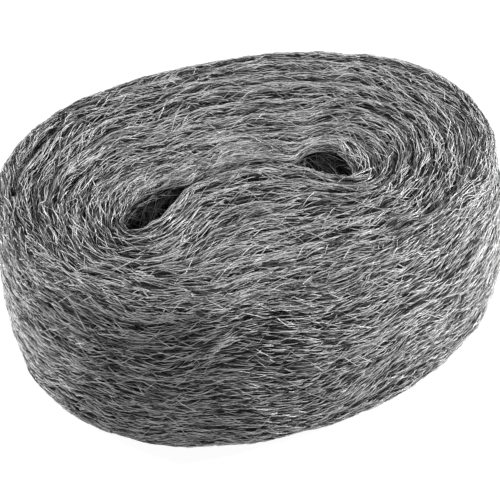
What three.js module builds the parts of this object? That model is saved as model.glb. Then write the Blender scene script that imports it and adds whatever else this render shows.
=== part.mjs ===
// A roll of steel wool: one long ribbon of fine steel fibres, wound flat on itself.
// It was wound round a flat plate that was then drawn out, so every turn is a long oval
// round a closed slit, and the slit stays open only at its two ends, as two eyes.
//
// Millimetres, +Z up. The roll lies on its underside, on the plane z = 0, with the origin
// under the middle of its length and width. Its length runs along X.

import * as THREE from "three";
import { mergeVertices } from "three/addons/utils/BufferGeometryUtils.js";

// The roll as a whole, measured at the fullest height of its wall.
const ROLL_LENGTH = 150;
const ROLL_WIDTH = 115.5;
// The ribbon stands on edge, so its width is the height of the roll.
const RIBBON_WIDTH = 56;

// The outline of the roll, a full oval that is a little uneven, as a hand-wound one is.
// A fullness of 2 is an ellipse, and a higher one is squarer.
const OUTLINE_FULLNESS = 2.16;
const END_DIFFERENCE = -0.02;
const LOBE_SHARE = 0.025;
const LOBE_ANGLE = THREE.MathUtils.degToRad(14);

// The side wall: rounded above and below, slightly bellied, and spread at the foot.
const TOP_EDGE_RADIUS = 6.2;
const BOTTOM_EDGE_RADIUS = 7.8;
const WALL_BELLY = 1.2;
const FOOT_SPREAD = 3;

// The winding. The ribbon thins out to nothing over its first turn and over its last one.
const TURNS = 9;
const OUTER_END_ANGLE = THREE.MathUtils.degToRad(222);
const SHORTEST_FEATHER = 0.14;
const WANDER_SHARE = 0.11;
const WANDERS_PER_TURN = 2.37;

// The section of one turn, where it shows on the faces of the roll.
const GROOVE_DEPTH = 3.2;
const CREST_ROUNDNESS = 2.6;
const TURN_UNEVENNESS = 1.1;
const UNEVENNESS_PER_TURN = 0.83;

// The fibres lie in locks, which swell and sink a little all over the roll. The locks are
// waves that run in several directions, and a whole number of them goes round the wall.
const LOCK_HEIGHT = 1.2;
const LOCKS_PER_TURN = 17;
const LOCKS_UP_THE_WALL = 5;
const LOCK_WAVES = 6;
const LOCK_HEADING = THREE.MathUtils.degToRad(137.5);
const LOCK_SHIFT_PER_TURN = 1.13;

// The slit that the plate left, arched a little towards the back of the roll.
const SLIT_LENGTH = 67.6;
const SLIT_CENTRE_X = -5.8;
const SLIT_CENTRE_Y = 1.9;
const SLIT_ARCH = 12.6;
const SLIT_ARCH_POWER = 1.7;
const SLIT_TILT = 1.2;
const SLIT_REACH = 0.7;
// The turns leave the ends of the arched slit pointing forward by this angle.
const SLIT_DROOP = THREE.MathUtils.degToRad(20);

// The two eyes at the ends of the slit, and how much of each opens towards the back.
const LEFT_EYE_LENGTH = 21;
const LEFT_EYE_WIDTH = 11.5;
const LEFT_EYE_BACK_SHARE = 0.42;
const RIGHT_EYE_LENGTH = 16;
const RIGHT_EYE_WIDTH = 13;
const RIGHT_EYE_BACK_SHARE = 0.6;
const NARROWEST_OPENING = 0.4;

// How finely the surfaces are divided.
const STEPS_PER_TURN = 60;
const STRIPS_PER_TURN = 4;
const WALL_ROWS = 14;
const MERGE_DISTANCE = 1e-4;

const FULL_CIRCLE = 2 * Math.PI;
const LAST_STEP = Math.round((OUTER_END_ANGLE / FULL_CIRCLE) * STEPS_PER_TURN);
const FIRST_STEP = LAST_STEP - Math.round(TURNS * STEPS_PER_TURN);
const WOUND_TURNS = (LAST_STEP - FIRST_STEP) / STEPS_PER_TURN;

// A cosine or sine with its corners filled out or drawn in by a power.
function signedPower(value, power) {
  return Math.sign(value) * Math.abs(value) ** power;
}

// How far the wall stands out from the plain outline at a height.
function wallOffset(height) {
  const straight = RIBBON_WIDTH - TOP_EDGE_RADIUS - BOTTOM_EDGE_RADIUS;
  const along = (height - BOTTOM_EDGE_RADIUS) / straight;
  const belly = WALL_BELLY * Math.sin(Math.PI * along);
  return belly + FOOT_SPREAD * (1 - height / RIBBON_WIDTH);
}

// The heights of the rows of the wall, between its two rounded edges.
const WALL_HEIGHTS = [];
for (let row = 0; row <= WALL_ROWS; row += 1) {
  const straight = RIBBON_WIDTH - TOP_EDGE_RADIUS - BOTTOM_EDGE_RADIUS;
  WALL_HEIGHTS.push(RIBBON_WIDTH - TOP_EDGE_RADIUS - (straight * row) / WALL_ROWS);
}
const TOP_OF_WALL = WALL_HEIGHTS[0];
const FOOT_OF_WALL = WALL_HEIGHTS[WALL_ROWS];
const WIDEST_OFFSET = Math.max(...WALL_HEIGHTS.map(wallOffset));

// The outline at unit size, before it is stretched to the roll's length and width.
function unitOutline(angle) {
  const power = 2 / OUTLINE_FULLNESS;
  const x = signedPower(Math.cos(angle), power);
  const y = signedPower(Math.sin(angle), power);
  const ends = END_DIFFERENCE * Math.cos(angle);
  const lobes = LOBE_SHARE * Math.cos(3 * (angle - LOBE_ANGLE));
  return new THREE.Vector2(x, y).multiplyScalar(1 + ends + lobes);
}

// The box of the unit outline, for stretching it to the roll's length and width.
const UNIT_BOX = new THREE.Box2();
for (let step = 0; step < STEPS_PER_TURN; step += 1) {
  UNIT_BOX.expandByPoint(unitOutline((step / STEPS_PER_TURN) * FULL_CIRCLE));
}
const UNIT_SIZE = UNIT_BOX.getSize(new THREE.Vector2());
const UNIT_MIDDLE = UNIT_BOX.getCenter(new THREE.Vector2());

// The plain outline, under the belly and the spread of the wall.
function plainOutline(angle) {
  const point = unitOutline(angle).sub(UNIT_MIDDLE);
  point.x *= (ROLL_LENGTH - 2 * WIDEST_OFFSET) / UNIT_SIZE.x;
  point.y *= (ROLL_WIDTH - 2 * WIDEST_OFFSET) / UNIT_SIZE.y;
  return point;
}

// How far the wool sinks between its locks, at a place along the winding and up the wall.
function lockSink(turns, height) {
  let swell = 0;
  for (let wave = 1; wave <= LOCK_WAVES; wave += 1) {
    const heading = wave * LOCK_HEADING;
    const along = Math.round(LOCKS_PER_TURN * Math.cos(heading)) * turns;
    const up = (LOCKS_UP_THE_WALL * Math.sin(heading) * height) / RIBBON_WIDTH;
    swell += Math.sin(FULL_CIRCLE * (along + up) + wave ** 2);
  }
  return (LOCK_HEIGHT / 2) * (1 - swell / LOCK_WAVES);
}

// The outline at a height of the wall, set out square to the plain outline.
function outlineAt(step, height) {
  const turns = step / STEPS_PER_TURN;
  const winding = turns * FULL_CIRCLE;
  const angle = winding - SLIT_DROOP * Math.cos(winding);
  const half = FULL_CIRCLE / STEPS_PER_TURN / 2;
  const along = plainOutline(angle + half).sub(plainOutline(angle - half)).normalize();
  const outward = new THREE.Vector2(along.y, -along.x);
  const offset = wallOffset(height) - lockSink(turns, height);
  return plainOutline(angle).addScaledVector(outward, offset);
}

// The width of the slit at a place along it, from -1 at its left end to 1 at its right end.
// Each eye is a drop, round at the slit's end and drawn to a point where the slit closes.
function eyeWidth(place) {
  const length = place < 0 ? LEFT_EYE_LENGTH : RIGHT_EYE_LENGTH;
  const width = place < 0 ? LEFT_EYE_WIDTH : RIGHT_EYE_WIDTH;
  const fromEnd = ((1 - Math.abs(place)) * (SLIT_LENGTH / 2)) / length;
  if (fromEnd >= 1) {
    return 0;
  }
  const fullestAt = 1 / 3;
  const fullest = Math.sqrt(fullestAt) * (1 - fullestAt);
  const opening = (width * Math.sqrt(fromEnd) * (1 - fromEnd)) / fullest;
  return opening < NARROWEST_OPENING ? 0 : opening;
}

// How far along the slit a step of the winding starts from.
function slitPlace(step) {
  return signedPower(Math.cos((step / STEPS_PER_TURN) * FULL_CIRCLE), SLIT_REACH);
}

// The edge of the slit that a step of the winding starts from.
function slitEdge(step) {
  const place = slitPlace(step);
  const atBack = Math.sin((step / STEPS_PER_TURN) * FULL_CIRCLE) > 0;
  const backShare = place < 0 ? LEFT_EYE_BACK_SHARE : RIGHT_EYE_BACK_SHARE;
  const share = atBack ? backShare : backShare - 1;
  const arch = SLIT_TILT * place - SLIT_ARCH * Math.abs(place) ** SLIT_ARCH_POWER;
  const x = SLIT_CENTRE_X + (SLIT_LENGTH / 2) * place;
  const y = SLIT_CENTRE_Y + arch + share * eyeWidth(place);
  return new THREE.Vector2(x, y);
}

// Where the outer edge of the ribbon lies after some turns, from 0 at the slit to 1 at the
// wall. It wanders a little on its way, because the turns aren't equally tight.
function woundShare(turns) {
  const plain = turns / (WOUND_TURNS - 1);
  const left = Math.min(turns, WOUND_TURNS - 1 - turns);
  if (left < SHORTEST_FEATHER) {
    return plain < 1 / 2 ? 0 : 1;
  }
  const wander = Math.sin(FULL_CIRCLE * WANDERS_PER_TURN * turns) * Math.sin(Math.PI * plain);
  return plain + (WANDER_SHARE * wander) / (WOUND_TURNS - 1);
}

// The depth of the groove beside the outer edge of the ribbon after some turns. It fades
// where the ribbon thins out, and the wall has none.
function grooveDepth(turns) {
  const edge = woundShare(turns);
  if (edge === 0) {
    return GROOVE_DEPTH;
  }
  const inside = edge - woundShare(turns - 1);
  const outside = woundShare(turns + 1) - edge;
  return GROOVE_DEPTH * Math.min(1, Math.min(inside, outside) * (WOUND_TURNS - 1));
}

// How much a rounded edge falls away at a distance in from the wall.
function edgeDrop(radius, fromWall) {
  if (fromWall >= radius) {
    return 0;
  }
  return radius - Math.sqrt(radius ** 2 - (radius - fromWall) ** 2);
}

// A point on the upper or the lower face of the roll: on a step of the winding, and on one
// of the lines that run across the ribbon's thickness there.
function facePoint(step, line, isUpper) {
  const turns = (step - FIRST_STEP) / STEPS_PER_TURN;
  const across = line / STRIPS_PER_TURN;
  const inner = woundShare(turns - 1);
  const outer = woundShare(turns);
  const share = inner + (outer - inner) * across;
  const start = slitEdge(step);
  const end = outlineAt(step, isUpper ? TOP_OF_WALL : FOOT_OF_WALL);
  const fromWall = (1 - share) * start.distanceTo(end);
  const place = start.lerp(end, share);

  // Where the ribbon has thinned out to nothing it has no crest, and lies in the groove.
  const groove = grooveDepth(across < 1 / 2 ? turns - 1 : turns);
  const fromCrest = inner === outer ? 1 : Math.abs(2 * across - 1);
  if (!isUpper) {
    // The underside is pressed flat between its grooves by the weight of the roll.
    const pressed = fromCrest < 1 ? 0 : groove;
    const lift = Math.max(pressed, edgeDrop(BOTTOM_EDGE_RADIUS, fromWall));
    return new THREE.Vector3(place.x, place.y, lift);
  }
  const uneven = (1 + Math.sin(FULL_CIRCLE * UNEVENNESS_PER_TURN * turns)) / 2;
  const sink = TURN_UNEVENNESS * uneven + lockSink(LOCK_SHIFT_PER_TURN * turns, 0);
  const drop = groove * fromCrest ** CREST_ROUNDNESS + sink * (1 - fromCrest ** CREST_ROUNDNESS);
  const rim = edgeDrop(TOP_EDGE_RADIUS, fromWall);
  const height = RIBBON_WIDTH - Math.min(rim + drop, Math.max(rim, GROOVE_DEPTH + rim / 2));
  return new THREE.Vector3(place.x, place.y, share === 1 ? TOP_OF_WALL : height);
}

// Collects the corners of flat triangles, and leaves out those that have no area.
const corners = [];

function addTriangle(a, b, c) {
  const sides = [a.distanceTo(b), b.distanceTo(c), c.distanceTo(a)];
  if (Math.min(...sides) > MERGE_DISTANCE) {
    corners.push(...a.toArray(), ...b.toArray(), ...c.toArray());
  }
}

// A four-cornered patch, its corners given in turn, seen from outside the roll.
function addPatch(a, b, c, d) {
  addTriangle(a, b, c);
  addTriangle(a, c, d);
}

// Both faces of the roll: the section of one turn, carried along the whole winding. Each
// turn shares its outer groove with the next one, which is what fuses the turns together.
function addWoundFaces() {
  for (let step = FIRST_STEP; step < LAST_STEP; step += 1) {
    for (let line = 0; line < STRIPS_PER_TURN; line += 1) {
      for (const isUpper of [true, false]) {
        const a = facePoint(step, line, isUpper);
        const b = facePoint(step, line + 1, isUpper);
        const c = facePoint(step + 1, line + 1, isUpper);
        const d = facePoint(step + 1, line, isUpper);
        if (isUpper) {
          addPatch(a, b, c, d);
        } else {
          addPatch(d, c, b, a);
        }
      }
    }
  }
}

// The side wall, which is the outer side of the last turn.
function addWall() {
  const wallPoint = (step, row) => {
    const height = WALL_HEIGHTS[row];
    const place = outlineAt(step, height);
    return new THREE.Vector3(place.x, place.y, height);
  };
  for (let step = LAST_STEP - STEPS_PER_TURN; step < LAST_STEP; step += 1) {
    for (let row = 0; row < WALL_ROWS; row += 1) {
      const a = wallPoint(step, row);
      const b = wallPoint(step, row + 1);
      const c = wallPoint(step + 1, row + 1);
      const d = wallPoint(step + 1, row);
      addPatch(a, b, c, d);
    }
  }
}

// The walls of the two eyes, which go right through the roll. Between them the slit is
// closed, and the first turn meets itself.
function addEyes() {
  for (let step = FIRST_STEP; step < FIRST_STEP + STEPS_PER_TURN; step += 1) {
    const isOpen = eyeWidth(slitPlace(step)) > 0 || eyeWidth(slitPlace(step + 1)) > 0;
    if (isOpen) {
      const a = facePoint(step, 0, true);
      const b = facePoint(step + 1, 0, true);
      const c = facePoint(step + 1, 0, false);
      const d = facePoint(step, 0, false);
      addPatch(a, b, c, d);
    }
  }
}

function buildRoll() {
  addWoundFaces();
  addWall();
  addEyes();
  const faces = new THREE.BufferGeometry();
  faces.setAttribute("position", new THREE.Float32BufferAttribute(corners, 3));
  const solid = mergeVertices(faces, MERGE_DISTANCE);

  // The outline is uneven, so the origin is set under the middle of the finished roll, and
  // what the sinking between the locks takes off its size is given back.
  solid.computeBoundingBox();
  const middle = solid.boundingBox.getCenter(new THREE.Vector3());
  const size = solid.boundingBox.getSize(new THREE.Vector3());
  solid.translate(-middle.x, -middle.y, 0);
  solid.scale(ROLL_LENGTH / size.x, ROLL_WIDTH / size.y, RIBBON_WIDTH / size.z);
  solid.computeVertexNormals();
  return solid;
}

const steelWool = new THREE.MeshStandardMaterial({
  color: 0x8c8c8c,
  roughness: 0.45,
  metalness: 0.85,
});

const woolRoll = new THREE.Mesh(buildRoll(), steelWool);
woolRoll.name = "wool_roll";

const roll = new THREE.Group();
roll.add(woolRoll);

export default roll;
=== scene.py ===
"""A pad of steel wool, wound flat from a ribbon of fibres, with its studio.

Everything is in metres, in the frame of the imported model: +Z up, the origin under the middle
of the roll, and the roll's length along X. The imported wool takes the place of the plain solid,
and layers of single strands lie on every side of it.
"""

import logging
import math
from dataclasses import dataclass, field
from enum import Enum

import bpy
import numpy as np
from mathutils import Matrix, Vector


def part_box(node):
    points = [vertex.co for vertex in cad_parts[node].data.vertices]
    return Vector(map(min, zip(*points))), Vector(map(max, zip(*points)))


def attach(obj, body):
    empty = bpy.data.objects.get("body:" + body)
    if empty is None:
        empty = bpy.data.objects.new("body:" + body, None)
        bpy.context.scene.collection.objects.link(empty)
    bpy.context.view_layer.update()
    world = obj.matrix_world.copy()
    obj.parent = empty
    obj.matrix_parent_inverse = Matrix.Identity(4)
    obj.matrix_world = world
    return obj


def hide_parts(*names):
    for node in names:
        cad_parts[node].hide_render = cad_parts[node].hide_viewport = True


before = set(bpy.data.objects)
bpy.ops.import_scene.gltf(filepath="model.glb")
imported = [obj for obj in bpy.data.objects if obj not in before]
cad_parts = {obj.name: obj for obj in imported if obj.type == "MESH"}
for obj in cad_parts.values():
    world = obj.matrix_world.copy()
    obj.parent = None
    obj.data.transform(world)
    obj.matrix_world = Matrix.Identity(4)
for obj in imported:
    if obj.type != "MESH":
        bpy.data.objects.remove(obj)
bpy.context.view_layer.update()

# Names that the imported model knows, the names of the UV maps, and the file of sizes

BODY = "root"
NODE = "wool_roll"
BAKE_MAP = "OFBake"
WINDING_MAP = "winding"

# Plain helpers

FULL_CIRCLE = 2 * math.pi
Span = tuple[float, float]
Spot = tuple[float, float, float]

logging.basicConfig(level=logging.INFO, format="%(message)s")
log = logging.getLogger("steel_wool")


class Side(Enum):
    """The sides of the roll that strands lie on."""

    UPPER = "upper face"
    UNDER = "underside"
    WALL = "side wall"
    EYE = "inside the eyes"


def signed_power(value: np.ndarray, power: float) -> np.ndarray:
    """Raises the size of each value to a power and keeps its sign."""
    return np.sign(value) * np.abs(value) ** power


def unit(vectors: np.ndarray) -> np.ndarray:
    """Scales vectors to a length of 1, along the last axis."""
    lengths = np.linalg.norm(vectors, axis=-1, keepdims=True)
    return vectors / np.maximum(lengths, 1e-12)


def run_along(points: np.ndarray) -> np.ndarray:
    """The way from the first point of a line to each of its points."""
    steps = np.diff(points, axis=0, prepend=points[:1])
    return np.cumsum(np.linalg.norm(steps, axis=-1))


def grey(level: float) -> tuple[float, float, float, float]:
    """A plain grey colour."""
    return (level, level, level, 1.0)


@dataclass(frozen=True)
class Ripples:
    """A smooth, repeatable unevenness through space, as a sum of waves.

    Args:
        wavelength: about the distance from one swelling to the next.
        seed: which unevenness of that kind it is.
        waves: how many waves are added up.
        pitches: the shortest and the longest wave, as parts of the wavelength.
    """

    wavelength: float
    seed: int
    waves: int = 9
    pitches: Span = (0.7, 1.6)

    def at(self, places: np.ndarray) -> np.ndarray:
        """Gives the unevenness at some places.

        Args:
            places: positions, with x, y and z on the last axis.

        Returns:
            One value for each place, with a spread of about 1.
        """
        rng = np.random.default_rng(self.seed)
        ways = unit(rng.normal(size=(self.waves, 3)))
        pitch = self.wavelength * rng.uniform(*self.pitches, size=(self.waves, 1))
        shifts = rng.uniform(0, FULL_CIRCLE, size=self.waves)
        phases = places @ (ways * FULL_CIRCLE / pitch).T + shifts
        return np.sin(phases).sum(axis=-1) * math.sqrt(2 / self.waves)


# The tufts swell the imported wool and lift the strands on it. In patches and streaks,
# neighbouring strands are brighter or duller together. The run is the length of the map of
# streaks for each turn.

TUFTS, TUFTING = Ripples(0.009, 31), 0.00012
WIDE_PATCHES, WIDE_SHARE = Ripples(0.018, 77), 0.6
SMALL_PATCHES, SMALL_SHARE = Ripples(0.006, 78), 0.4
STREAKS, STREAK_RUN, PATCHES_TO_STREAKS = Ripples(0.0022, 79), 0.03125, 0.6


# The shape of the roll


@dataclass(frozen=True)
class RollShape:
    """The wound roll: its outline, its wall, its turns and its slit.

    The length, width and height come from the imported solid. The other sizes are those that
    the solid was drawn from.
    """

    length: float
    width: float
    height: float

    # The outline from above
    fullness: float = 2.16
    end_difference: float = -0.02
    lobe_share: float = 0.025
    lobe_angle: float = math.radians(14)
    outline_points: int = 361

    # The wall
    top_radius: float = 0.0062
    foot_radius: float = 0.0078
    belly: float = 0.0012
    foot_spread: float = 0.003
    wall_levels: int = 6

    # The turns of the ribbon
    turns: float = 9.0
    outer_end: float = math.radians(222)
    shortest_feather: float = 0.14
    wander_share: float = 0.11
    wanders_per_turn: float = 2.37

    # The grooves between the turns, and the swellings of the wool
    groove: float = 0.0032
    crest_roundness: float = 2.6
    unevenness: float = 0.0011
    unevenness_per_turn: float = 0.83
    lock_height: float = 0.0012
    locks_per_turn: float = 17
    locks_up_the_wall: float = 5
    lock_waves: int = 6
    lock_heading: float = math.radians(137.5)
    lock_shift_per_turn: float = 1.13

    # The slit in the middle, with its two eyes
    slit_length: float = 0.0676
    slit_centre: Span = (-0.0058, 0.0019)
    slit_arch: float = 0.0126
    slit_arch_power: float = 1.7
    slit_tilt: float = 0.0012
    slit_reach: float = 0.7
    slit_droop: float = math.radians(20)
    left_eye: Span = (0.021, 0.0115)
    left_eye_back_share: float = 0.42
    right_eye: Span = (0.016, 0.013)
    right_eye_back_share: float = 0.6
    narrowest_opening: float = 0.0004

    @classmethod
    def from_solid(cls, node: str) -> "RollShape":
        """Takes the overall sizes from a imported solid.

        Args:
            node: the name of the solid.

        Returns:
            The shape of a roll of that size.
        """
        low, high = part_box(node)
        return cls(*(high - low))

    @property
    def wall_top(self) -> float:
        """The height where the wall turns over into the upper face."""
        return self.height - self.top_radius

    def wall_offset(self, height: np.ndarray) -> np.ndarray:
        """Finds how far the wall stands out from the plain outline.

        Args:
            height: the heights on the wall.

        Returns:
            The distance at each height.
        """
        along = (height - self.foot_radius) / (self.wall_top - self.foot_radius)
        belly = self.belly * np.sin(math.pi * np.clip(along, 0, 1))
        return belly + self.foot_spread * (1 - height / self.height)

    def widest_offset(self) -> float:
        """The furthest that the wall stands out."""
        heights = np.linspace(self.foot_radius, self.wall_top, self.wall_levels)
        return float(self.wall_offset(heights).max())

    def unit_outline(self, angle: np.ndarray) -> np.ndarray:
        """Draws the outline before it is stretched to the roll's length and width.

        Args:
            angle: the angles round the roll.

        Returns:
            The x and y of each point.
        """
        power = 2 / self.fullness
        ends = self.end_difference * np.cos(angle)
        lobes = self.lobe_share * np.cos(3 * (angle - self.lobe_angle))
        x = signed_power(np.cos(angle), power)
        y = signed_power(np.sin(angle), power)
        return np.stack([x, y], -1) * (1 + ends + lobes)[..., None]

    def plain_outline(self, angle: np.ndarray) -> np.ndarray:
        """Draws the outline under the belly and the spread of the wall.

        Args:
            angle: the angles round the roll.

        Returns:
            The x and y of each point.
        """
        ring = self.unit_outline(np.linspace(0, FULL_CIRCLE, self.outline_points))
        low, high = ring.min(0), ring.max(0)
        size = np.array([self.length, self.width]) - 2 * self.widest_offset()
        return (self.unit_outline(angle) - (low + high) / 2) * size / (high - low)

    def lock_sink(self, turns: np.ndarray, height: np.ndarray) -> np.ndarray:
        """Finds how far the wool sinks between its locks.

        Args:
            turns: the places along the winding, in turns.
            height: how far up the wall they are.

        Returns:
            The depth at each place.
        """
        swell = np.zeros(np.broadcast_shapes(np.shape(turns), np.shape(height)))
        for wave in range(1, self.lock_waves + 1):
            heading = wave * self.lock_heading
            along = round(self.locks_per_turn * math.cos(heading)) * turns
            up = self.locks_up_the_wall * math.sin(heading) * height / self.height
            swell = swell + np.sin(FULL_CIRCLE * (along + up) + wave**2)
        return self.lock_height / 2 * (1 - swell / self.lock_waves)

    def outline(self, winding: np.ndarray, height: np.ndarray) -> np.ndarray:
        """Draws the outline of the wall.

        Args:
            winding: the angles that the winding has reached.
            height: the heights of the wall.

        Returns:
            The x and y of each point.
        """
        angle = winding - self.slit_droop * np.cos(winding)
        step = 0.02
        along = unit(self.plain_outline(angle + step) - self.plain_outline(angle - step))
        outward = np.stack([along[..., 1], -along[..., 0]], -1)
        offset = self.wall_offset(height) - self.lock_sink(winding / FULL_CIRCLE, height)
        return self.plain_outline(angle) + outward * offset[..., None]

    def eye_width(self, place: np.ndarray) -> np.ndarray:
        """Finds the width of the slit.

        Args:
            place: from -1 at its left end to 1 at its right end.

        Returns:
            The width at each place, or 0 where the slit is closed.
        """
        length = np.where(place < 0, self.left_eye[0], self.right_eye[0])
        width = np.where(place < 0, self.left_eye[1], self.right_eye[1])
        from_end = np.clip((1 - np.abs(place)) * self.slit_length / 2 / length, 0, 1)
        fullest = math.sqrt(1 / 3) * (1 - 1 / 3)
        opening = width * np.sqrt(from_end) * (1 - from_end) / fullest
        return np.where(opening < self.narrowest_opening, 0, opening)

    def slit_edge(self, winding: np.ndarray) -> np.ndarray:
        """Draws the edge of the slit, which the winding starts from.

        Args:
            winding: the angles of the winding.

        Returns:
            The x and y of each point.
        """
        place = signed_power(np.cos(winding), self.slit_reach)
        at_back = np.sin(winding) > 1e-9
        back_share = np.where(place < 0, self.left_eye_back_share, self.right_eye_back_share)
        share = np.where(at_back, back_share, back_share - 1)
        arch = self.slit_tilt * place
        arch = arch - self.slit_arch * np.abs(place) ** self.slit_arch_power
        x = self.slit_centre[0] + self.slit_length / 2 * place
        y = self.slit_centre[1] + arch + share * self.eye_width(place)
        return np.stack([x, y], -1)

    def winding_at(self, turns: np.ndarray) -> np.ndarray:
        """The angle of the winding after some turns."""
        return self.outer_end - FULL_CIRCLE * (self.turns - turns)

    def share(self, turns: np.ndarray) -> np.ndarray:
        """Finds where the ribbon's outer edge lies between the slit and the wall.

        Args:
            turns: how many turns the ribbon has made.

        Returns:
            From 0 at the slit to 1 at the wall.
        """
        rings = self.turns - 1
        plain = turns / rings
        left = np.minimum(turns, rings - turns)
        wander = np.sin(FULL_CIRCLE * self.wanders_per_turn * turns)
        wander = wander * np.sin(math.pi * np.clip(plain, 0, 1))
        whole = plain + self.wander_share * wander / rings
        return np.where(left < self.shortest_feather, (plain >= 0.5) * 1.0, whole)

    def groove_depth(self, turns: np.ndarray) -> np.ndarray:
        """Finds the depth of the groove beside the ribbon's outer edge.

        Args:
            turns: how many turns the ribbon has made.

        Returns:
            The depth, which is less where the ribbon is thin.
        """
        edge = self.share(turns)
        inside = edge - self.share(turns - 1)
        outside = self.share(turns + 1) - edge
        thinnest = np.minimum(inside, outside) * (self.turns - 1)
        return self.groove * np.where(edge == 0, 1, np.minimum(1, thinnest))

    @staticmethod
    def edge_drop(radius: float, from_wall: np.ndarray) -> np.ndarray:
        """How much a rounded edge falls away at some distances in from the wall."""
        reach = np.clip(radius - from_wall, 0, radius)
        return radius - np.sqrt(radius**2 - reach**2)

    def face(self, turns: np.ndarray, across: np.ndarray, upper: bool) -> np.ndarray:
        """Finds points on the upper face or the underside.

        Args:
            turns: how many turns the ribbon has made.
            across: from 0 at the ribbon's inner side to 1 at its outer side. Values past
                those go on into the neighbouring turns.
            upper: whether it is the upper face.

        Returns:
            The x, y and z of each point.
        """
        whole = np.floor(np.where(across == 1, 0, across))
        turns, across = turns + whole, across - whole
        inner, outer = self.share(turns - 1), self.share(turns)
        share = np.clip(inner + (outer - inner) * across, 0, 1)
        winding = self.winding_at(turns)
        level = np.full_like(winding, self.wall_top if upper else self.foot_radius)
        start, end = self.slit_edge(winding), self.outline(winding, level)
        from_wall = (1 - share) * np.linalg.norm(end - start, axis=-1)
        place = start + (end - start) * share[..., None]
        groove = self.groove_depth(np.where(across < 0.5, turns - 1, turns))
        from_crest = np.abs(2 * across - 1) ** self.crest_roundness
        from_crest = np.where(outer > inner, from_crest, 1)
        if upper:
            uneven = (1 + np.sin(FULL_CIRCLE * self.unevenness_per_turn * turns)) / 2
            sink = self.unevenness * uneven
            sink = sink + self.lock_sink(self.lock_shift_per_turn * turns, 0)
            drop = groove * from_crest + sink * (1 - from_crest)
            rim = self.edge_drop(self.top_radius, from_wall)
            lowest = np.maximum(rim, self.groove + rim / 2)
            height = self.height - np.minimum(rim + drop, lowest)
            height = np.where(share >= 1, self.wall_top, height)
        else:
            rim = self.edge_drop(self.foot_radius, from_wall)
            height = np.maximum(groove * from_crest**3, rim)
        return np.concatenate([place, height[..., None]], -1)

    def wall(self, turns: np.ndarray, down: np.ndarray) -> np.ndarray:
        """Finds points on the side wall and its two rounded edges.

        Args:
            turns: how many turns the ribbon has made, for the angle.
            down: the way from the inner side of the upper rounded edge, down the wall.

        Returns:
            The x, y and z of each point.
        """
        winding = self.winding_at(turns)
        top_arc = self.top_radius * math.pi / 2
        straight = self.wall_top - self.foot_radius
        over = np.clip(down / self.top_radius, 0, math.pi / 2)
        under = np.clip((down - top_arc - straight) / self.foot_radius, 0, math.pi / 2)
        height = self.wall_top - np.clip(down - top_arc, 0, straight)
        height = height + self.top_radius * np.cos(over) * (down < top_arc)
        height = height - self.foot_radius * np.sin(under)
        past_crest = np.clip(1 - down / (self.top_radius / 2), 0, 1)
        height = height - self.groove * past_crest**self.crest_roundness
        inset = self.top_radius * (1 - np.sin(over)) + np.clip(-down, 0, None)
        inset = inset + self.foot_radius * (1 - np.cos(under))
        level = np.clip(height, self.foot_radius, self.wall_top)
        edge = self.outline(winding, level)
        inward = unit(self.slit_edge(winding) - edge)
        place = edge + inward * inset[..., None]
        return np.concatenate([place, height[..., None]], -1)

    def wall_reach(self) -> float:
        """The way down the wall, over both of its rounded edges."""
        arcs = (self.top_radius + self.foot_radius) * math.pi / 2
        return arcs + self.wall_top - self.foot_radius

    def eye(self, turns: np.ndarray, down: np.ndarray) -> np.ndarray:
        """Finds points on the inner side of the first turn, down in the eyes.

        Args:
            turns: how many turns the ribbon has made, for the angle.
            down: how far they are under the top of that side.

        Returns:
            The x, y and z of each point.
        """
        place = self.slit_edge(self.winding_at(turns))
        height = self.height - self.groove - np.maximum(down, 0)
        return np.concatenate([place, height[..., None]], -1)


# Finishes

Socket = bpy.types.NodeSocket
Input = Socket | float | tuple[float, ...]
Inputs = dict[str | int, Input]


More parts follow.
